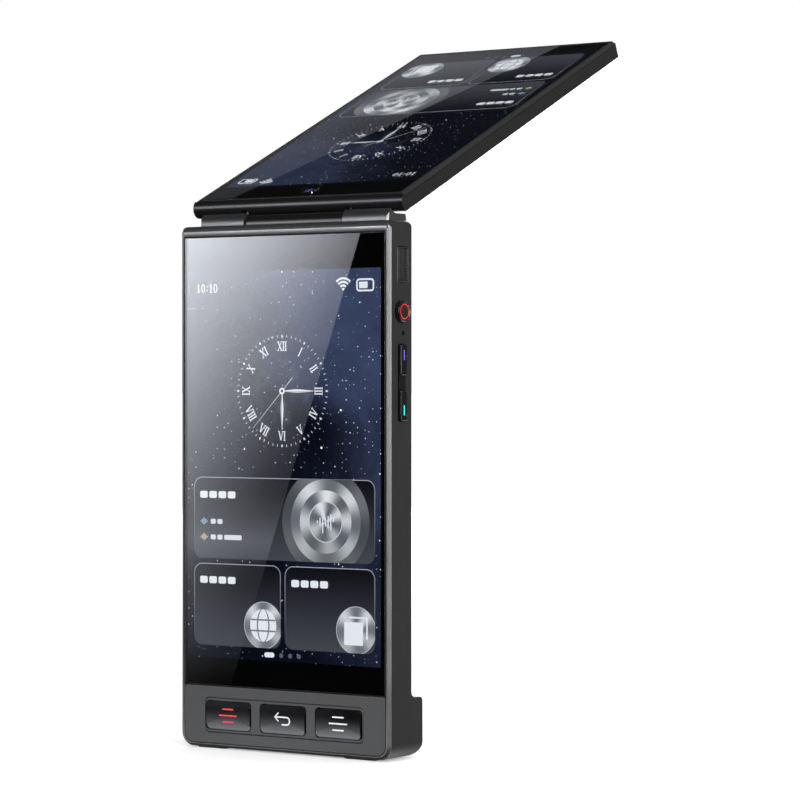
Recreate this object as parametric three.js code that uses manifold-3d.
// A handheld translator with a second screen on a flip-up lid, built as separate pieces.
// x runs to the viewer's right, y backwards from the front face and z up from the underside.

import * as THREE from 'three';
import { mergeVertices } from 'three/addons/utils/BufferGeometryUtils.js';
import Module from 'manifold-3d';

const wasm = await Module();
wasm.setup();

// Driving dimensions in millimetres
const bodyWidth = 72.7;
const bodyHeight = 148.5;
const bodyThickness = 10.7;
const footThickness = 16.2;
const footHeight = 16.6;
const chinHeight = 17.5;
const lidThickness = 5.6;
const wall = 1.4;
const backWall = 1;
const seam = 0.15;
const clearance = 0.3;
const runningGap = 0.1;
const overrun = 2;

// Front frame and glass
const frameDepth = 1;
const frameChamfer = 0.85;
const frameSideRim = 1.35;
const frameTopRim = 2.05;
const frameBottomRim = 1;
const frameTopDrop = 0.95;
const glassThickness = 0.8;
const glassCorner = 0.5;
const glassBevel = 0.1;

// Screen stack
const screenSideMargin = 1.5;
const screenAboveChin = 8;
const screenTopMargin = 10;
const screenBorder = 0.5;
const screenTail = 3;
const panelThickness = 1.4;
const backlightThickness = 1;

// Housing
const bottomCorner = 4;
const topCorner = 1.4;
const lipChamfer = 0.5;
const backTopRadius = 1.8;
const footBottomRadius = 4.5;
const footTopRadius = 1.4;
const footScoop = 1.8;
const cavityTopDrop = 6.8;
const cavityCorner = 1;
const padHeight = 0.35;
const padSideMargin = 5.75;
const padWidth = 9.6;
const padRamp = 1.2;

// Covers at the back
const coverMargin = 3;
const coverStep = 1.2;
const coverThickness = 0.85;
const coverCorner = 2;
const footCoverHeight = 9.6;
const footCoverMargin = 5.4;
const speakerSlotWidth = 1;
const speakerSlotHeight = 5;
const speakerSlotPitch = 2.2;
const speakerSlotCount = 6;

// Keys on the chin
const keySpacing = 3.35;
const keyHeight = 8;
const keyEndMargin = 0.45;
const keyCount = 3;
const keyCentreZ = 9.25;
const keyCorner = 1.1;
const keyProud = 0.3;
const keyBevel = 0.25;
const keyGap = 0.2;
const keyFlangeRim = 0.7;
const keyFlangeThickness = 0.5;
const keypadSideMargin = 8.85;
const keypadHeight = 10;
const keypadCorner = 1.4;
const domeRadius = 2.4;
const domeTopShare = 0.5;
const domeHeight = 0.35;
const keyBoardThickness = 0.5;
const keyBoardMargin = 0.5;
const keyTravel = 0.3;

// Side controls on the right wall
const sideRecess = 0.45;
const sideKeyProud = 0.95;
const sideBevel = 0.3;
const sideFlangeRim = 0.6;
const sideFlangeThickness = 0.55;
const sideTravel = 0.25;
const powerCentreY = 5.5;
const powerRise = 5.8;
const powerRadius = 2.9;
const powerProud = 1.3;
const ringWidth = 0.4;
const ringInset = 0.7;
const ringDepth = 0.2;
const insetGap = 0.05;
const sideKeyCentreY = 5.8;
const sideKeyWidth = 3;
const sideKeySpacing = 3.8;
const sideKeyCorner = 0.5;
const sideSlotWidth = 3.6;
const sideSlotHeight = 21.4;
const sideSlotDrop = 44.7;
const sideSlotCorner = 0.8;
const bezelThickness = 0.7;
const lightBarWidth = 0.45;
const lightBarHeight = 2.8;
const lightBarOffset = 1.3;
const grilleCentreY = 6.45;
const grilleWidth = 5.7;
const grilleHeight = 10.1;
const grilleRise = 13.1;
const grilleCorner = 0.9;
const grilleDrop = 0.35;
const grilleThickness = 0.7;
const grilleColumns = 3;
const grilleRows = 6;
const grilleHole = 0.95;
const grillePitchShare = 0.25;
const micCentreY = 6.6;
const micHoleRadius = 0.75;
const micHoleRise = 3;
const micWidth = 2.6;
const micThickness = 1.1;
const sideBoardThickness = 0.8;
const sideBoardWidth = 4.4;
const sideSwitchWidth = 3.2;
const sideBoardMargin = 1.1;

// Inner pieces of the body
const chassisThickness = 0.8;
const chassisSideGap = 1.1;
const chassisWindow = 20;
const bossSize = 5;
const topBossShift = 10;
const screwShank = 0.6;
const screwHead = 1.3;
const screwHeadHeight = 0.45;
const screwLength = 3.2;
const batterySideGap = 4.95;
const batteryShare = 0.536;
const batteryThickness = 3.9;
const batteryLow = 26;
const batteryCorner = 2;
const boardThickness = 1;
const boardGap = 4;
const boardTopDrop = 10.5;
const chipHeight = 1.1;
const chipSize = 9;
const shieldWidthShare = 0.567;
const shieldHeightShare = 0.66;
const shieldThickness = 1.7;
const chargingBoardWidth = 28;
const chargingBoardHeight = 12;
const chargingBoardThickness = 0.8;
const portWidth = 8.9;
const portHeight = 3.2;
const portShell = 0.3;
const portLength = 7;
const portTongue = 0.7;
const portCentreY = 5.3;
const portInset = 0.35;
const speakerShare = 1.06;
const speakerHeight = 8.1;

// Hinge, whose link turns about a lower axis in the body and an upper axis in the lid
const lowerAxisY = 8.6;
const lowerAxisRise = 0.3;
const axisSpacing = 5.2;
const axisLead = 0.15;
const openAngle = 24.33;
const knuckleRadius = 4.15;
const knuckleClear = 0.35;
const linkSideMargin = 3.65;
const knuckleWidth = 15.5;
const knuckleGap = 0.4;
const cradleGap = 0.45;
const tailReach = 5;
const tailTip = 4.55;
const bridgeRoot = 2.35;
const linkBevel = 0.6;
const centreRadius = 3.5;
const coreRadius = 2;
const footInset = 0.4;
const shaftRadius = 1.1;
const shaftGrip = 9.2;
const shaftEndWall = 1.4;
const armThickness = 1.3;
const armHalfWidth = 1.1;
const armEyeRadius = 1.7;
const pinRadius = 0.9;
const pinReach = 2.4;
const slotOpenAngle = 62;
const notchDepth = 5.5;

// Lid
const lidRim = 1.35;
const lidFrameThickness = 1;
const lidFrameChamfer = 0.95;
const lidHingeStrip = 0.5;
const lidFarRim = 1.4;
const lidNoseLead = 0.35;
const lidCorner = 1.5;
const lidBackRadius = 1.8;
const lidBackChamfer = 0.5;
const lidWall = 1.2;
const lidBackWall = 1;
const lidNoseSolid = 3.2;
const lidScreenStart = 9.55;
const lidScreenEndMargin = 4.6;
const lidBoardThickness = 0.6;
const lidBoardLength = 46;
const lidBoardSideGap = 8.35;
const lidFootGap = 5;
const cameraAlong = 5.25;
const cameraRingRadius = 3;
const cameraRingInner = 1.9;
const cameraRingProud = 0.1;
const cameraSize = 4;

// Sizes that follow from the ones above
const half = 0.5;
const halfWidth = bodyWidth * half;
const frameTop = bodyHeight - frameTopDrop;
const openingHalf = halfWidth - frameSideRim;
const openingTop = frameTop - frameTopRim;
const housingFront = frameDepth + seam;
const cavityHalf = halfWidth - wall;
const cavityTop = bodyHeight - cavityTopDrop;
const cavityBack = bodyThickness - backWall;
const panelFront = glassThickness + seam;
const backlightFront = panelFront + panelThickness + seam;
const chassisFront = backlightFront + backlightThickness + clearance;
const chassisBack = chassisFront + chassisThickness;
const coreFront = chassisBack + clearance;
const panelHalf = openingHalf - screenSideMargin + screenBorder;
const panelLow = chinHeight + screenAboveChin - screenTail;
const panelHigh = openingTop - screenTopMargin + screenTail;
const keypadWidth = (halfWidth - keypadSideMargin) / half;
const keyWidth = (keypadWidth + keySpacing - keyEndMargin - keyEndMargin) / keyCount - keySpacing;
const keyPitch = keyWidth + keySpacing;
const padOuter = halfWidth - padSideMargin;
const padInner = padOuter - padWidth;
const sideSlotCentreZ = bodyHeight - sideSlotDrop;
const sideKeyHeight = (sideSlotHeight - sideKeySpacing) * half;
const micHoleZ = sideSlotCentreZ + sideSlotHeight * half + micHoleRise;
const powerCentreZ = micHoleZ + powerRise;
const grilleCentreZ = powerCentreZ + grilleRise;
const lowerAxisZ = bodyHeight + lowerAxisRise;
const upperAxisY = lowerAxisY + axisLead;
const upperAxisZ = lowerAxisZ + axisSpacing;
const noseRadius = lidThickness * half;
const cradleRadius = noseRadius + cradleGap;
const lidFar = lowerAxisZ - axisLead - footHeight - lidFootGap;
const linkHalfWidth = halfWidth - linkSideMargin;
const knuckleInner = linkHalfWidth - knuckleWidth;
const shaftInner = knuckleInner - shaftGrip;
const quarterTurn = Math.PI * half;
const halfTurn = Math.PI;
const curveSteps = 3;
const fineSteps = 6;
const rodSides = 32;
const pinSides = 16;
const weldDistance = 1e-5;

// Turns that stand an outline up: one drawn in (x, up) or one drawn in (y, z)
const standing = new THREE.Matrix4().makeBasis(
  new THREE.Vector3(1, 0, 0), new THREE.Vector3(0, 0, 1), new THREE.Vector3(0, -1, 0));
const sideways = new THREE.Matrix4().makeBasis(
  new THREE.Vector3(0, 1, 0), new THREE.Vector3(0, 0, 1), new THREE.Vector3(1, 0, 0));
const axleWise = new THREE.Matrix4().makeBasis(
  new THREE.Vector3(0, 1, 0), new THREE.Vector3(1, 0, 0), new THREE.Vector3(0, 0, -1));

// Solids from geometries and back
function toSolid(geometry) {
  const bare = geometry.clone();
  bare.deleteAttribute('normal');
  bare.deleteAttribute('uv');
  const merged = mergeVertices(bare, weldDistance);
  return new wasm.Manifold(new wasm.Mesh({
    numProp: 3,
    vertProperties: Float32Array.from(merged.attributes.position.array),
    triVerts: Uint32Array.from(merged.index.array),
  }));
}

function toGeometry(solid) {
  const mesh = solid.getMesh();
  const geometry = new THREE.BufferGeometry();
  geometry.setAttribute('position', new THREE.BufferAttribute(Float32Array.from(mesh.vertProperties), 3));
  geometry.setIndex(Array.from(mesh.triVerts));
  geometry.computeVertexNormals();
  return geometry;
}

function cut(solid, ...tools) {
  return tools.reduce((rest, tool) => rest.subtract(tool), solid);
}

function join(solid, ...others) {
  return others.reduce((whole, other) => whole.add(other), solid);
}

// Outlines
function roundedOutline(left, right, low, high, lowRadius, highRadius) {
  const outline = new THREE.Shape();
  outline.moveTo(left + lowRadius, low);
  outline.lineTo(right - lowRadius, low);
  outline.absarc(right - lowRadius, low + lowRadius, lowRadius, -quarterTurn, 0, false);
  outline.lineTo(right, high - highRadius);
  outline.absarc(right - highRadius, high - highRadius, highRadius, 0, quarterTurn, false);
  outline.lineTo(left + highRadius, high);
  outline.absarc(left + highRadius, high - highRadius, highRadius, quarterTurn, halfTurn, false);
  outline.lineTo(left, low + lowRadius);
  outline.absarc(left + lowRadius, low + lowRadius, lowRadius, halfTurn, halfTurn + quarterTurn, false);
  return outline;
}

function centredOutline(centre, middle, width, height, radius) {
  return roundedOutline(centre - width * half, centre + width * half,
    middle - height * half, middle + height * half, radius, radius);
}

function polygon(points) {
  return new THREE.Shape(points.map(([across, up]) => new THREE.Vector2(across, up)));
}

// Sheets lie flat with their thickness along z, between two heights
function sheetGeometry(outline, low, high, steps = curveSteps) {
  const geometry = new THREE.ExtrudeGeometry(outline, {
    depth: high - low, bevelEnabled: false, curveSegments: steps,
  });
  geometry.translate(0, 0, low);
  return geometry;
}

function sheet(outline, low, high) {
  return toSolid(sheetGeometry(outline, low, high));
}

// A sheet whose upper edge is chamfered all round: a bevelled one with its lower bevel cut off
function chamferedSheet(outline, low, high, chamfer) {
  const geometry = new THREE.ExtrudeGeometry(outline, {
    depth: high - low,
    bevelEnabled: true,
    bevelThickness: chamfer,
    bevelSize: chamfer,
    bevelOffset: -chamfer,
    bevelSegments: 1,
    curveSegments: curveSteps,
  });
  geometry.translate(0, 0, low - chamfer);
  const reach = bodyWidth + bodyHeight;
  return cut(toSolid(geometry), block(-reach, reach, -reach, reach, low - chamfer - overrun, low));
}

function stand(solid) {
  return toSolid(toGeometry(solid).applyMatrix4(standing));
}

// Slabs stand upright with their thickness along y, from a front to a back
function slab(outline, front, back, steps = curveSteps) {
  return toSolid(sheetGeometry(outline, -back, -front, steps).applyMatrix4(standing));
}

function chamferedSlab(outline, front, back, chamfer) {
  return stand(chamferedSheet(outline, -back, -front, chamfer));
}

// Beams carry an outline drawn in (y, z) along x
function beam(outline, left, right, steps = curveSteps) {
  return toSolid(sheetGeometry(outline, left, right, steps).applyMatrix4(sideways));
}

function chamferedBeam(outline, left, right, chamfer) {
  return toSolid(toGeometry(chamferedSheet(outline, left, right, chamfer)).applyMatrix4(sideways));
}

function block(left, right, front, back, low, high) {
  const geometry = new THREE.BoxGeometry(right - left, back - front, high - low);
  geometry.translate((left + right) * half, (front + back) * half, (low + high) * half);
  return toSolid(geometry);
}

function rod(radius, left, right, y, z, sides = rodSides) {
  const geometry = new THREE.CylinderGeometry(radius, radius, right - left, sides);
  geometry.applyMatrix4(axleWise);
  geometry.translate((left + right) * half, y, z);
  return toSolid(geometry);
}

// A round peg along y, whose front end may be smaller than its back end
function peg(frontRadius, backRadius, x, front, back, z, sides = pinSides) {
  const geometry = new THREE.CylinderGeometry(backRadius, frontRadius, back - front, sides);
  geometry.translate(x, (front + back) * half, z);
  return toSolid(geometry);
}

// A round disc in the lid's own frame, with its thickness along z
function disc(radius, x, along, low, high, sides = pinSides + pinSides) {
  const geometry = new THREE.CylinderGeometry(radius, radius, high - low, sides);
  geometry.applyMatrix4(standing);
  geometry.translate(x, along, (low + high) * half);
  return toSolid(geometry);
}

// Finishes
function finish(color, roughness, metalness, opacity = 1) {
  return new THREE.MeshStandardMaterial({
    color, roughness, metalness, opacity, transparent: opacity < 1,
  });
}

const satinDark = finish(0x343434, 0.45, 0.3);
const glossDark = finish(0x141416, 0.25, 0.2);
const trimMetal = finish(0x8e8f90, 0.35, 0.9);
const chinMetal = finish(0x5a5a5b, 0.45, 0.7);
const keyFace = finish(0x3f3f40, 0.4, 0.6);
const coverGlass = finish(0x0a0b0d, 0.05, 0, 0.35);
const screenFace = finish(0x1c2548, 0.3, 0);
const darkPlastic = finish(0x1b1b1c, 0.6, 0);
const steel = finish(0x9a9a9c, 0.3, 1);
const boardGreen = finish(0x1d5a36, 0.6, 0);
const shieldTin = finish(0xb8b8b6, 0.4, 0.9);
const cellFoil = finish(0x2b2d30, 0.5, 0.3);
const ringRed = finish(0xdc1e23, 0.4, 0);
const barPurple = finish(0x695fc8, 0.4, 0);
const barCyan = finish(0x00e1d7, 0.4, 0);
const lensGlass = finish(0x0d1020, 0.05, 0);

const translator = new THREE.Group();
translator.position.y = -footThickness * half;

function addPiece(parent, name, solid, material) {
  const mesh = new THREE.Mesh(toGeometry(solid), material);
  mesh.name = name;
  parent.add(mesh);
}

// Front frame: a chamfered metal rim round the glass and the chin
function frontFrame() {
  const outline = roundedOutline(-halfWidth, halfWidth, 0, frameTop, bottomCorner, topCorner);
  const opening = roundedOutline(-openingHalf, openingHalf, frameBottomRim, openingTop,
    bottomCorner - frameBottomRim, glassCorner + seam);
  return cut(chamferedSlab(outline, 0, frameDepth, frameChamfer),
    slab(opening, -overrun, frameDepth + overrun));
}

function frontGlass() {
  const side = openingHalf - seam;
  const outline = roundedOutline(-side, side, chinHeight + seam * half, openingTop - seam,
    glassCorner, glassCorner);
  return chamferedSlab(outline, 0, glassThickness, glassBevel);
}

function screenStack(front, thickness) {
  return slab(roundedOutline(-panelHalf, panelHalf, panelLow, panelHigh, glassCorner, glassCorner),
    front, front + thickness);
}

// Chin: the plate below the glass, with a plate let into it that holds the three keys
function keyPlaces() {
  return [-keyPitch, 0, keyPitch];
}

function keyOutline(x, grow) {
  return centredOutline(x, keyCentreZ, keyWidth + grow + grow, keyHeight + grow + grow, keyCorner + grow);
}

function chinPlate() {
  const side = openingHalf - seam;
  const outline = roundedOutline(-side, side, frameBottomRim + seam, chinHeight - seam * half,
    bottomCorner - frameBottomRim - seam, glassCorner);
  const pad = centredOutline(0, keyCentreZ, keypadWidth, keypadHeight, keypadCorner);
  return cut(chamferedSlab(outline, 0, frameDepth, glassBevel), slab(pad, -overrun, frameDepth + overrun));
}

function keypadPlate() {
  const outline = centredOutline(0, keyCentreZ, keypadWidth - seam - seam, keypadHeight - seam - seam,
    keypadCorner - seam);
  const holes = keyPlaces().map((x) => slab(keyOutline(x, keyGap), -overrun, frameDepth + overrun));
  return cut(chamferedSlab(outline, 0, frameDepth, glassBevel), ...holes);
}

const flangeFront = frameDepth + clearance;
const flangeBack = flangeFront + keyFlangeThickness;

function chinKey(x) {
  const cap = chamferedSlab(keyOutline(x, 0), -keyProud, flangeFront + seam, keyBevel);
  return join(cap, slab(keyOutline(x, keyFlangeRim), flangeFront, flangeBack));
}

// Dome switches stand on one board, a hair behind the keys at full travel
function keySwitchBoard() {
  const domeFront = flangeBack + keyTravel + insetGap;
  const boardFront = domeFront + domeHeight;
  const board = slab(centredOutline(0, keyCentreZ, keypadWidth - keyBoardMargin, keypadHeight - keyBoardMargin,
    keypadCorner), boardFront, boardFront + keyBoardThickness);
  const domes = keyPlaces().map((x) => peg(domeRadius * domeTopShare, domeRadius, x,
    domeFront, boardFront + seam, keyCentreZ));
  return join(board, ...domes);
}

// Housing: the side walls, the thick foot and the pocket for the hinge
function housingFace() {
  const outline = new THREE.Shape();
  outline.moveTo(-halfWidth + bottomCorner, 0);
  outline.lineTo(-padOuter - seam, 0);
  outline.lineTo(-padOuter, -padHeight);
  outline.lineTo(-padInner, -padHeight);
  outline.lineTo(-padInner + padRamp, 0);
  outline.lineTo(padInner - padRamp, 0);
  outline.lineTo(padInner, -padHeight);
  outline.lineTo(padOuter, -padHeight);
  outline.lineTo(padOuter + seam, 0);
  outline.lineTo(halfWidth - bottomCorner, 0);
  outline.absarc(halfWidth - bottomCorner, bottomCorner, bottomCorner, -quarterTurn, 0, false);
  outline.lineTo(halfWidth, bodyHeight - topCorner);
  outline.absarc(halfWidth - topCorner, bodyHeight - topCorner, topCorner, 0, quarterTurn, false);
  outline.lineTo(-halfWidth + topCorner, bodyHeight);
  outline.absarc(-halfWidth + topCorner, bodyHeight - topCorner, topCorner, quarterTurn, halfTurn, false);
  outline.lineTo(-halfWidth, bottomCorner);
  outline.absarc(-halfWidth + bottomCorner, bottomCorner, bottomCorner, halfTurn, halfTurn + quarterTurn, false);
  return outline;
}

function housingProfile() {
  const outline = new THREE.Shape();
  outline.moveTo(housingFront, -padHeight);
  outline.lineTo(footThickness - footBottomRadius, -padHeight);
  outline.absarc(footThickness - footBottomRadius, footBottomRadius - padHeight, footBottomRadius,
    -quarterTurn, 0, false);
  outline.lineTo(footThickness, footHeight - footTopRadius);
  outline.absarc(footThickness - footTopRadius, footHeight - footTopRadius, footTopRadius, 0, quarterTurn, false);
  outline.lineTo(bodyThickness + footScoop, footHeight);
  outline.absarc(bodyThickness + footScoop, footHeight + footScoop, footScoop, -quarterTurn, -halfTurn, true);
  outline.lineTo(bodyThickness, bodyHeight - backTopRadius);
  outline.absarc(bodyThickness - backTopRadius, bodyHeight - backTopRadius, backTopRadius, 0, quarterTurn, false);
  outline.lineTo(housingFront + lipChamfer, bodyHeight);
  outline.lineTo(housingFront, bodyHeight - lipChamfer);
  return outline;
}

const coverHalf = halfWidth - coverMargin;
const coverLow = footHeight + footScoop + coverMargin * half;
const coverHigh = cavityTop - coverStep;
const footCoverHalf = halfWidth - footCoverMargin;
const footCoverLow = (footHeight - footTopRadius + footBottomRadius - padHeight - footCoverHeight) * half;
const footCoverHigh = footCoverLow + footCoverHeight;
const recessFloor = halfWidth - sideRecess;

function housingCavities() {
  const main = slab(roundedOutline(-cavityHalf, cavityHalf, wall, cavityTop, bottomCorner - wall, cavityCorner),
    housingFront - overrun, cavityBack);
  const foot = slab(roundedOutline(-cavityHalf, cavityHalf, wall + wall, footHeight - wall,
    bottomCorner - wall, cavityCorner), cavityBack - overrun, footThickness - wall - wall);
  const backSeat = slab(roundedOutline(-coverHalf, coverHalf, coverLow, coverHigh, coverCorner, coverCorner),
    bodyThickness - coverThickness, bodyThickness + overrun);
  const backWindow = slab(roundedOutline(-coverHalf + coverStep, coverHalf - coverStep,
    coverLow + coverStep, coverHigh - coverStep, coverCorner - seam, coverCorner - seam),
  cavityBack - overrun, bodyThickness + overrun);
  const footSeat = slab(roundedOutline(-footCoverHalf, footCoverHalf, footCoverLow, footCoverHigh,
    coverCorner, coverCorner), footThickness - coverThickness, footThickness + overrun);
  const footWindow = slab(roundedOutline(-footCoverHalf + coverStep, footCoverHalf - coverStep,
    footCoverLow + coverStep, footCoverHigh - coverStep, coverCorner - seam, coverCorner - seam),
  footThickness - wall - wall - overrun, footThickness + overrun);
  return [main, foot, backSeat, backWindow, footSeat, footWindow];
}

// The hinge pocket is round at the front, where the knuckles turn, and square where the tail folds in
function hingePocket() {
  const side = linkHalfWidth + clearance;
  const round = rod(knuckleRadius + knuckleClear, -side, side, lowerAxisY, lowerAxisZ);
  const deep = block(-side, side, lowerAxisY - footInset, bodyThickness + overrun,
    bodyHeight - notchDepth, bodyHeight + overrun);
  return join(round, deep);
}

function keySlotOutline(grow) {
  return centredOutline(sideKeyCentreY, sideSlotCentreZ, sideSlotWidth + grow + grow,
    sideSlotHeight + grow + grow, sideSlotCorner + grow);
}

function sideKeyOutline(key, grow) {
  return centredOutline(sideKeyCentreY, key.z, sideKeyWidth + grow + grow,
    sideKeyHeight - keyGap + grow + grow, sideKeyCorner + grow);
}

function grilleOutline(grow) {
  return centredOutline(grilleCentreY, grilleCentreZ, grilleWidth + grow + grow,
    grilleHeight + grow + grow, grilleCorner + grow);
}

function powerOutline(grow) {
  const radius = powerRadius + grow;
  return centredOutline(powerCentreY, powerCentreZ, radius + radius, radius + radius, radius);
}

const sideKeyRise = (sideSlotHeight - sideKeyHeight) * half;
const sideKeyPlaces = [
  { name: 'side_key_upper', bar: 'light_bar_upper', z: sideSlotCentreZ + sideKeyRise, material: barPurple },
  { name: 'side_key_lower', bar: 'light_bar_lower', z: sideSlotCentreZ - sideKeyRise, material: barCyan },
];

function sideCuts() {
  const out = halfWidth + overrun;
  const inside = cavityHalf - overrun;
  return [
    beam(powerOutline(seam), inside, out),
    beam(keySlotOutline(0), recessFloor, out),
    beam(grilleOutline(0), inside, out),
    rod(micHoleRadius, inside, out, micCentreY, micHoleZ, pinSides),
    ...sideKeyPlaces.map((key) => beam(sideKeyOutline(key, seam), inside, out)),
  ];
}

function portHole() {
  const outline = centredOutline(0, portCentreY, portWidth + seam + seam, portHeight + seam + seam,
    portHeight * half);
  return sheet(outline, -overrun, wall + overrun);
}

// Two bosses stand in the lower corners against the side walls and two hang from the top wall
function bossPlaces() {
  const x = cavityHalf - bossSize * half;
  const low = coverLow + coverStep;
  const high = cavityTop - bossSize * half;
  return [[-x, low], [x, low], [topBossShift - x, high], [x - topBossShift, high]];
}

function boss(x, z) {
  const reach = bossSize * half + seam;
  return block(x - reach, x + reach, coreFront, cavityBack + seam, z - reach, z + reach);
}

function mainHousing() {
  const profile = beam(housingProfile(), -halfWidth, halfWidth, fineSteps);
  const shell = slab(housingFace(), housingFront, footThickness, fineSteps).intersect(profile);
  const hollow = cut(shell, ...housingCavities(), hingePocket(), ...sideCuts(), portHole());
  const bosses = bossPlaces().map(([x, z]) => boss(x, z));
  const pilots = bossPlaces().map(([x, z]) => peg(screwShank + seam, screwShank + seam, x,
    coreFront - overrun, coreFront + screwLength, z));
  return cut(join(hollow, ...bosses), ...pilots);
}

function backCover() {
  return slab(roundedOutline(-coverHalf + seam, coverHalf - seam, coverLow + seam, coverHigh - seam,
    coverCorner - seam, coverCorner - seam), bodyThickness - coverThickness + seam, bodyThickness);
}

function footCover() {
  const plate = slab(roundedOutline(-footCoverHalf + seam, footCoverHalf - seam, footCoverLow + seam,
    footCoverHigh - seam, coverCorner - seam, coverCorner - seam),
  footThickness - coverThickness + seam, footThickness);
  const middle = (footCoverLow + footCoverHigh) * half;
  const first = -(speakerSlotCount - 1) * half * speakerSlotPitch;
  const slots = [];
  for (let i = 0; i < speakerSlotCount; i += 1) {
    const x = first + i * speakerSlotPitch - footCoverHalf * half;
    slots.push(slab(centredOutline(x, middle, speakerSlotWidth, speakerSlotHeight, speakerSlotWidth * half),
      footThickness - wall - overrun, footThickness + overrun));
  }
  return cut(plate, ...slots);
}

// Inner pieces of the body
function chassisPlate() {
  const side = cavityHalf - chassisSideGap;
  const plate = slab(roundedOutline(-side, side, coverLow - coverStep, cavityTop - clearance,
    cavityCorner, cavityCorner), chassisFront, chassisBack);
  const window = slab(centredOutline(0, batteryLow + batteryHeight * half, chassisWindow, chassisWindow,
    cavityCorner), chassisFront - overrun, chassisBack + overrun);
  const holes = bossPlaces().map(([x, z]) => peg(screwShank + seam, screwShank + seam, x,
    chassisFront - overrun, chassisBack + overrun, z));
  const heads = bossPlaces().map(([x, z]) => peg(screwHead + seam, screwHead + seam, x,
    chassisFront - overrun, chassisBack - screwHeadHeight * half, z));
  return cut(plate, window, ...holes, ...heads);
}

function chassisScrew(x, z) {
  const headFront = chassisBack - screwHeadHeight * half - screwHeadHeight + seam;
  const head = peg(screwHead, screwHead, x, headFront - seam, headFront + screwHeadHeight - seam, z);
  const shank = peg(screwShank, screwShank, x, headFront + seam, coreFront + screwLength - clearance, z);
  return join(head, shank);
}

const batteryWidth = (cavityHalf - batterySideGap) / half;
const batteryHeight = (cavityTop - batteryLow) * batteryShare;

function battery() {
  return slab(centredOutline(0, batteryLow + batteryHeight * half, batteryWidth, batteryHeight, batteryCorner),
    coreFront, coreFront + batteryThickness);
}

const boardWidth = batteryWidth;
const boardLow = batteryLow + batteryHeight + boardGap;
const boardHigh = cavityTop - boardTopDrop;
const boardBack = coreFront + boardThickness;

function mainBoard() {
  const board = block(-boardWidth * half, boardWidth * half, coreFront, boardBack, boardLow, boardHigh);
  const chipX = boardWidth * half - chipSize;
  const chips = [boardLow + chipSize, boardHigh - chipSize].map((z) => block(
    chipX - chipSize * half, chipX + chipSize * half, boardBack - seam, boardBack + chipHeight,
    z - chipSize * half, z + chipSize * half));
  return join(board, ...chips);
}

function boardShield() {
  const left = -boardWidth * half + boardGap;
  const shieldWidth = boardWidth * shieldWidthShare;
  const shieldHeight = (boardHigh - boardLow) * shieldHeightShare;
  const middle = (boardLow + boardHigh) * half;
  const front = boardBack + seam;
  const can = block(left, left + shieldWidth, front, front + shieldThickness,
    middle - shieldHeight * half, middle + shieldHeight * half);
  const inside = block(left + clearance, left + shieldWidth - clearance, front - overrun,
    front + shieldThickness - clearance, middle - shieldHeight * half + clearance,
    middle + shieldHeight * half - clearance);
  return cut(can, inside);
}

const chargingFront = portCentreY + portHeight * half + clearance;
const chargingLow = wall + clearance;

function chargingBoard() {
  return slab(roundedOutline(-chargingBoardWidth * half, chargingBoardWidth * half, chargingLow,
    chargingLow + chargingBoardHeight, glassCorner, glassCorner),
  chargingFront, chargingFront + chargingBoardThickness);
}

function portConnector() {
  const outer = centredOutline(0, portCentreY, portWidth, portHeight, portHeight * half - seam);
  const inner = centredOutline(0, portCentreY, portWidth - portShell - portShell,
    portHeight - portShell - portShell, portHeight * half - portShell - seam);
  const tongue = centredOutline(0, portCentreY, portWidth * half, portTongue, seam);
  const mouth = sheet(inner, portInset - overrun, portInset + portLength - portShell - portShell);
  const shell = cut(sheet(outer, portInset, portInset + portLength), mouth);
  return join(shell, sheet(tongue, portInset + portShell, portInset + portLength - portShell));
}

function speaker() {
  const front = chargingFront + chargingBoardThickness + clearance;
  const middle = (footCoverLow + footCoverHigh) * half;
  return slab(centredOutline(-footCoverHalf * half, middle, footCoverHalf * speakerShare, speakerHeight,
    coverCorner), front, footThickness - wall - wall - clearance);
}

// Side controls
function sideCap(outlineAt, proud) {
  const cap = chamferedBeam(outlineAt(0), cavityHalf - seam - seam, halfWidth + proud, sideBevel);
  const flange = beam(outlineAt(sideFlangeRim), cavityHalf - seam - sideFlangeThickness, cavityHalf - seam);
  return join(cap, flange);
}

function ringSolid(grow, from, to) {
  return cut(beam(powerOutline(grow - ringInset), from, to),
    beam(powerOutline(-ringInset - ringWidth - grow), from - overrun, to + overrun));
}

function powerButton() {
  const face = halfWidth + powerProud;
  return cut(sideCap(powerOutline, powerProud),
    ringSolid(insetGap, face - ringDepth - insetGap, face + overrun));
}

function powerRing() {
  const face = halfWidth + powerProud;
  return ringSolid(0, face - ringDepth, face);
}

function barOutline(z, grow) {
  return centredOutline(sideKeyCentreY, z, lightBarWidth + grow + grow, lightBarHeight + grow + grow,
    lightBarWidth * half - insetGap + grow);
}

function barHeight(key) {
  return key.z + (key.z > sideSlotCentreZ ? lightBarOffset : -lightBarOffset);
}

function sideKey(key) {
  const face = halfWidth + sideKeyProud;
  return cut(sideCap((grow) => sideKeyOutline(key, grow), sideKeyProud),
    beam(barOutline(barHeight(key), insetGap), face - ringDepth - insetGap, face + overrun));
}

function lightBar(key) {
  const face = halfWidth + sideKeyProud;
  return beam(barOutline(barHeight(key), 0), face - ringDepth, face);
}

function sideKeyBezel() {
  const plate = beam(keySlotOutline(-seam), recessFloor + insetGap, recessFloor + bezelThickness);
  const holes = sideKeyPlaces.map((key) => beam(sideKeyOutline(key, keyGap * half),
    recessFloor - overrun, recessFloor + overrun));
  return cut(plate, ...holes);
}

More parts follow.
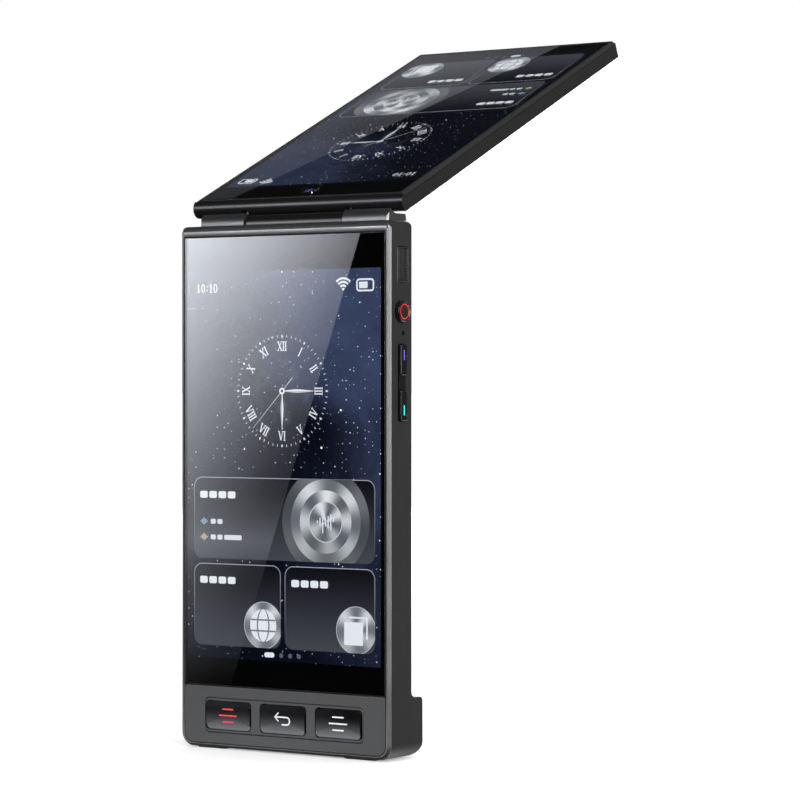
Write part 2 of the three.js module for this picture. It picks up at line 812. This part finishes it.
function sideGrille() {
  const face = halfWidth - grilleDrop;
  const plate = beam(grilleOutline(-seam), face - grilleThickness, face);
  const pitchY = grilleWidth * grillePitchShare;
  const pitchZ = (grilleHeight - grilleHole) / (grilleRows + half);
  const holes = [];
  for (let column = 0; column < grilleColumns; column += 1) {
    const y = grilleCentreY + (column - (grilleColumns - 1) * half) * pitchY;
    const shift = column % 2 === 0 ? 0 : pitchZ * half;
    for (let row = 0; row < grilleRows; row += 1) {
      const z = grilleCentreZ + (row - grilleRows * half) * pitchZ + shift + pitchZ * half * half;
      const reach = grilleHole * half;
      const diamond = polygon([[y - reach, z], [y, z - reach], [y + reach, z], [y, z + reach]]);
      holes.push(beam(diamond, face - grilleThickness - overrun, face + overrun));
    }
  }
  return cut(plate, ...holes);
}

const switchFace = cavityHalf - seam - sideFlangeThickness - sideTravel - runningGap;

function sideSwitchBoard() {
  const boardFace = switchFace - sideBoardThickness;
  const reach = powerRadius;
  const low = sideSlotCentreZ - sideSlotHeight * half - sideBoardMargin;
  const high = powerCentreZ + reach + sideBoardMargin;
  const board = block(boardFace - sideBoardThickness, boardFace,
    coreFront, coreFront + sideBoardWidth, low, high);
  const places = [powerCentreZ, ...sideKeyPlaces.map((key) => key.z)];
  const switches = places.map((z) => block(boardFace - seam, switchFace,
    coreFront + seam, coreFront + seam + sideSwitchWidth, z - reach, z + reach));
  return join(board, ...switches);
}

function sideMicrophone() {
  const face = cavityHalf - clearance;
  return block(face - micThickness, face, micCentreY - micWidth * half, micCentreY + micWidth * half,
    micHoleZ - micWidth * half, micHoleZ + micWidth * half);
}

// Hinge pieces, drawn in (y, z)
function knuckleOutline() {
  const tailTop = upperAxisZ - cradleRadius;
  const spacing = Math.hypot(axisSpacing, axisLead);
  const along = (knuckleRadius ** 2 - cradleRadius ** 2 + spacing ** 2) / (spacing + spacing);
  const across = Math.sqrt(knuckleRadius ** 2 - along ** 2);
  const lean = Math.atan2(axisSpacing, axisLead);
  const lipFromLower = lean + Math.atan2(across, along);
  const lipFromUpper = lean + halfTurn - Math.atan2(across, spacing - along);
  const outline = new THREE.Shape();
  outline.moveTo(lowerAxisY + tailReach, lowerAxisZ);
  outline.lineTo(lowerAxisY + tailTip, tailTop);
  outline.lineTo(upperAxisY, tailTop);
  outline.absarc(upperAxisY, upperAxisZ, cradleRadius, -quarterTurn, lipFromUpper - halfTurn - halfTurn, true);
  outline.absarc(lowerAxisY, lowerAxisZ, knuckleRadius, lipFromLower, halfTurn + halfTurn, false);
  return outline;
}

function bridgeOutline() {
  const tailTop = upperAxisZ - cradleRadius;
  return polygon([
    [lowerAxisY + bridgeRoot, lowerAxisZ], [lowerAxisY + tailReach, lowerAxisZ],
    [lowerAxisY + tailTip, tailTop], [lowerAxisY + bridgeRoot, tailTop],
  ]);
}

function armPlate(side, grow) {
  const inner = knuckleInner + seam;
  const left = side < 0 ? -inner - armThickness : inner;
  const from = left - (grow > 0 ? seam : 0);
  const to = left + armThickness + (grow > 0 ? seam : 0);
  const shank = block(from, to, lowerAxisY - armHalfWidth - grow, lowerAxisY + armHalfWidth + grow,
    lowerAxisZ, upperAxisZ);
  return join(shank, rod(armEyeRadius + grow, from, to, lowerAxisY, lowerAxisZ, rodSides),
    rod(armEyeRadius + grow, from, to, upperAxisY, upperAxisZ, rodSides));
}

function hingeLink() {
  const knuckles = [-1, 1].map((side) => {
    const ends = [side * knuckleInner, side * linkHalfWidth].sort((a, b) => a - b);
    return beam(knuckleOutline(), ends[0], ends[1], fineSteps + fineSteps);
  });
  const bridge = beam(bridgeOutline(), -knuckleInner - seam, knuckleInner + seam);
  const bores = [-1, 1].map((side) => {
    const ends = [side * (knuckleInner - overrun), side * (linkHalfWidth - shaftEndWall)].sort((a, b) => a - b);
    return rod(shaftRadius + runningGap, ends[0], ends[1], lowerAxisY, lowerAxisZ);
  });
  const pockets = [-1, 1].map((side) => armPlate(side, seam));
  const cornerCuts = [-1, 1].map((side) => {
    const corner = polygon([
      [side * linkHalfWidth, lowerAxisY - knuckleRadius - overrun],
      [side * (linkHalfWidth + overrun), lowerAxisY - knuckleRadius - overrun],
      [side * (linkHalfWidth + overrun), lowerAxisY - knuckleRadius + linkBevel],
      [side * linkHalfWidth, lowerAxisY - knuckleRadius + linkBevel],
      [side * (linkHalfWidth - linkBevel), lowerAxisY - knuckleRadius],
      [side * (linkHalfWidth - linkBevel), lowerAxisY - knuckleRadius - overrun],
    ]);
    return sheet(corner, lowerAxisZ - knuckleRadius - overrun, upperAxisZ);
  });
  return cut(join(knuckles[0], knuckles[1], bridge), ...bores, ...pockets, ...cornerCuts);
}

function linkArm(side) {
  const inner = knuckleInner - overrun;
  const ends = [side * inner, side * (knuckleInner + armThickness + overrun)].sort((a, b) => a - b);
  return cut(armPlate(side, 0),
    rod(shaftRadius + runningGap, ends[0], ends[1], lowerAxisY, lowerAxisZ),
    rod(pinRadius + runningGap, ends[0], ends[1], upperAxisY, upperAxisZ, pinSides));
}

const centreHalf = knuckleInner - knuckleGap;

function hingeCentreBarrel() {
  const front = cut(rod(centreRadius, -centreHalf, centreHalf, lowerAxisY, lowerAxisZ),
    block(-halfWidth, halfWidth, lowerAxisY, lowerAxisY + overrun + centreRadius,
      lowerAxisZ - centreRadius - overrun, lowerAxisZ + centreRadius + overrun));
  const core = rod(coreRadius, -centreHalf, centreHalf, lowerAxisY, lowerAxisZ);
  const footing = block(-centreHalf, centreHalf, lowerAxisY - coreRadius - footInset, lowerAxisY - footInset,
    lowerAxisZ - knuckleRadius - overrun, lowerAxisZ);
  const seat = rod(knuckleRadius + knuckleClear - seam, -halfWidth, halfWidth, lowerAxisY, lowerAxisZ);
  const bores = [-1, 1].map((side) => {
    const ends = [side * (shaftInner - seam), side * (centreHalf + overrun)].sort((a, b) => a - b);
    return rod(shaftRadius + runningGap, ends[0], ends[1], lowerAxisY, lowerAxisZ);
  });
  const cradle = rod(cradleRadius, -halfWidth, halfWidth, upperAxisY, upperAxisZ);
  return cut(join(front, core, footing.intersect(seat)), ...bores, cradle);
}

function hingeShaft(side) {
  const ends = [side * shaftInner, side * (linkHalfWidth - shaftEndWall - clearance)].sort((a, b) => a - b);
  return rod(shaftRadius, ends[0], ends[1], lowerAxisY, lowerAxisZ);
}

// Lid, drawn in its own frame: x across, y away from the hinge and z out of its screen
const lid = new THREE.Group();
lid.position.set(0, upperAxisY, upperAxisZ);
lid.rotation.x = openAngle * halfTurn / 180;
translator.add(lid);

const lidOpeningHalf = halfWidth - lidRim;
const lidGlassStart = -lidNoseLead;
const lidGlassEnd = lidFar - lidFarRim;
const lidGlassLow = noseRadius - glassThickness;
const lidFrameLow = noseRadius - lidFrameThickness;
const lidSeat = lidFrameLow - seam;
const lidPanelHigh = lidGlassLow - seam;
const lidPanelLow = lidPanelHigh - panelThickness;
const lidBacklightLow = lidPanelLow - seam - backlightThickness;
const lidFloor = lidBackWall - noseRadius;

function lidPlan(side, near, far, radius) {
  return roundedOutline(-side, side, near, far, glassCorner, radius);
}

function lidHousing() {
  const profile = new THREE.Shape();
  profile.moveTo(0, -noseRadius);
  profile.lineTo(lidFar - lidBackRadius, -noseRadius);
  profile.absarc(lidFar - lidBackRadius, lidBackRadius - noseRadius, lidBackRadius, -quarterTurn, 0, false);
  profile.lineTo(lidFar, lidSeat);
  profile.lineTo(0, lidSeat);
  const slabPart = beam(profile, -halfWidth, halfWidth, fineSteps);
  const nose = cut(rod(noseRadius, -halfWidth, halfWidth, 0, 0),
    block(-bodyWidth, bodyWidth, lidGlassStart - lidHingeStrip - seam, noseRadius + overrun,
      lidSeat, noseRadius + overrun));
  const plan = roundedOutline(-halfWidth, halfWidth, -noseRadius - overrun, lidFar, glassCorner, lidCorner);
  const shell = join(slabPart, nose).intersect(sheet(plan, -noseRadius, noseRadius));
  const pocketSide = halfWidth - lidWall;
  const pocket = sheet(lidPlan(pocketSide, lidNoseSolid, lidFar - lidWall, glassCorner),
    lidFloor, noseRadius + overrun);
  const edges = [-1, 1].map((side) => {
    const wedge = [
      [side * (halfWidth + overrun), -noseRadius - overrun],
      [side * (halfWidth + overrun), -noseRadius + lidBackChamfer + overrun],
      [side * (halfWidth - lidBackChamfer - overrun), -noseRadius - overrun],
    ];
    const outline = polygon(side < 0 ? wedge.slice().reverse() : wedge);
    return stand(toSolid(sheetGeometry(outline, -lidFar - overrun, noseRadius + overrun)));
  });
  const pinBores = [-1, 1].map((side) => {
    const ends = pinEnds(side, seam);
    return rod(pinRadius + runningGap, ends[0], ends[1], 0, 0, pinSides);
  });
  return cut(shell, pocket, ...edges, ...pinBores, ...armSlots());
}

function pinEnds(side, grow) {
  const inner = knuckleInner + seam - pinReach - grow;
  const outer = knuckleInner + seam + armThickness + pinReach + grow;
  return [side * inner, side * outer].sort((a, b) => a - b);
}

// The arm's slot in the lid's round end: the places that the arm takes up from closed to fully open
function armSlots() {
  const reach = noseRadius + overrun;
  const wide = armHalfWidth + clearance;
  const openTurn = slotOpenAngle * halfTurn / 180;
  return [-1, 1].map((side) => {
    const inner = knuckleInner + seam - clearance;
    const outer = knuckleInner + seam + armThickness + clearance;
    const [from, to] = [side * inner, side * outer].sort((a, b) => a - b);
    const eye = rod(armEyeRadius + clearance, from, to, 0, 0);
    const shut = polygon([[-wide, 0], [-wide, -reach], [wide, -reach], [wide, 0]]);
    const turned = (point) => {
      const [s, n] = point;
      return [s * Math.cos(openTurn) + n * Math.sin(openTurn), n * Math.cos(openTurn) - s * Math.sin(openTurn)];
    };
    const open = polygon([[-wide, 0], [-wide, -reach], [wide, -reach], [wide, 0]].map(turned));
    const between = polygon([[0, 0], turned([0, -reach]), turned([wide, -reach]), [-wide, -reach], [0, -reach]]);
    return join(eye, beam(shut, from, to), beam(open, from, to), beam(between, from, to));
  });
}

function lidFrame() {
  const near = lidGlassStart - lidHingeStrip;
  const outline = roundedOutline(-halfWidth, halfWidth, near, lidFar, glassCorner, lidCorner);
  const opening = roundedOutline(-lidOpeningHalf, lidOpeningHalf, lidGlassStart, lidGlassEnd,
    glassCorner, glassCorner);
  const chamfered = chamferedSheet(roundedOutline(-halfWidth, halfWidth, near - overrun, lidFar,
    lidCorner, lidCorner), lidFrameLow, noseRadius, lidFrameChamfer);
  return cut(chamfered.intersect(sheet(outline, lidFrameLow, noseRadius)),
    sheet(opening, lidFrameLow - overrun, noseRadius + overrun));
}

function lidGlass() {
  const plate = chamferedSheet(lidPlan(lidOpeningHalf - seam, lidGlassStart + seam, lidGlassEnd - seam,
    glassCorner), lidGlassLow, noseRadius, glassBevel);
  return cut(plate, disc(cameraRingRadius + seam, 0, cameraAlong, lidGlassLow - overrun, noseRadius + overrun));
}

function lidStack(low, high) {
  return sheet(lidPlan(panelHalf, lidScreenStart - clearance, lidGlassEnd - lidScreenEndMargin,
    glassCorner), low, high);
}

function lidBoard() {
  const top = lidBacklightLow - seam;
  const near = lidScreenStart + boardGap;
  const side = halfWidth - lidBoardSideGap;
  return block(-side, side, near, near + lidBoardLength, top - lidBoardThickness, top);
}

function lidCameraModule() {
  return sheet(centredOutline(0, cameraAlong + seam, cameraSize, cameraSize - clearance - clearance, cavityCorner),
    lidFloor + clearance, lidGlassLow - clearance);
}

function lidCameraRing() {
  return cut(disc(cameraRingRadius, 0, cameraAlong, lidGlassLow, noseRadius + cameraRingProud),
    disc(cameraRingInner, 0, cameraAlong, lidGlassLow - overrun, noseRadius + overrun));
}

function lidCameraLens() {
  return disc(cameraRingInner - seam, 0, cameraAlong, lidGlassLow, noseRadius - cameraRingProud);
}

function lidPin(side) {
  const ends = pinEnds(side, 0);
  return rod(pinRadius, ends[0], ends[1], 0, 0, pinSides);
}

// Assembly: the fixed body
addPiece(translator, 'front_frame', frontFrame(), trimMetal);
addPiece(translator, 'front_glass', frontGlass(), coverGlass);
addPiece(translator, 'display_panel', screenStack(panelFront, panelThickness), screenFace);
addPiece(translator, 'display_backlight', screenStack(backlightFront, backlightThickness), darkPlastic);
addPiece(translator, 'chin_plate', chinPlate(), chinMetal);
addPiece(translator, 'keypad_plate', keypadPlate(), chinMetal);
addPiece(translator, 'key_switch_board', keySwitchBoard(), boardGreen);
addPiece(translator, 'main_housing', mainHousing(), satinDark);
addPiece(translator, 'back_cover', backCover(), glossDark);
addPiece(translator, 'foot_cover', footCover(), glossDark);
addPiece(translator, 'chassis_plate', chassisPlate(), shieldTin);
bossPlaces().forEach(([x, z], index) => {
  addPiece(translator, `chassis_screw_${index + 1}`, chassisScrew(x, z), steel);
});
addPiece(translator, 'battery', battery(), cellFoil);
addPiece(translator, 'main_board', mainBoard(), boardGreen);
addPiece(translator, 'board_shield', boardShield(), shieldTin);
addPiece(translator, 'charging_board', chargingBoard(), boardGreen);
addPiece(translator, 'usb_connector', portConnector(), steel);
addPiece(translator, 'speaker', speaker(), darkPlastic);
addPiece(translator, 'side_grille', sideGrille(), darkPlastic);
addPiece(translator, 'side_key_bezel', sideKeyBezel(), darkPlastic);
addPiece(translator, 'side_switch_board', sideSwitchBoard(), boardGreen);
addPiece(translator, 'side_microphone', sideMicrophone(), shieldTin);
addPiece(translator, 'hinge_centre_barrel', hingeCentreBarrel(), glossDark);
addPiece(translator, 'hinge_shaft_left', hingeShaft(-1), steel);
addPiece(translator, 'hinge_shaft_right', hingeShaft(1), steel);

// Assembly: keys and buttons
['key_left', 'key_centre', 'key_right'].forEach((name, index) => {
  addPiece(translator, name, chinKey(keyPlaces()[index]), keyFace);
});
addPiece(translator, 'power_button', powerButton(), keyFace);
addPiece(translator, 'power_light_ring', powerRing(), ringRed);
sideKeyPlaces.forEach((key) => {
  addPiece(translator, key.name, sideKey(key), keyFace);
  addPiece(translator, key.bar, lightBar(key), key.material);
});

// Assembly: the hinge link
addPiece(translator, 'hinge_link', hingeLink(), satinDark);
addPiece(translator, 'link_arm_left', linkArm(-1), steel);
addPiece(translator, 'link_arm_right', linkArm(1), steel);

// Assembly: the lid
addPiece(lid, 'lid_housing', lidHousing(), satinDark);
addPiece(lid, 'lid_frame', lidFrame(), trimMetal);
addPiece(lid, 'lid_glass', lidGlass(), coverGlass);
addPiece(lid, 'lid_display', lidStack(lidPanelLow, lidPanelHigh), screenFace);
addPiece(lid, 'lid_backlight', lidStack(lidBacklightLow, lidPanelLow - seam), darkPlastic);
addPiece(lid, 'lid_board', lidBoard(), boardGreen);
addPiece(lid, 'lid_camera_module', lidCameraModule(), darkPlastic);
addPiece(lid, 'lid_camera_ring', lidCameraRing(), trimMetal);
addPiece(lid, 'lid_camera_lens', lidCameraLens(), lensGlass);
addPiece(lid, 'lid_pin_left', lidPin(-1), steel);
addPiece(lid, 'lid_pin_right', lidPin(1), steel);

export default translator;
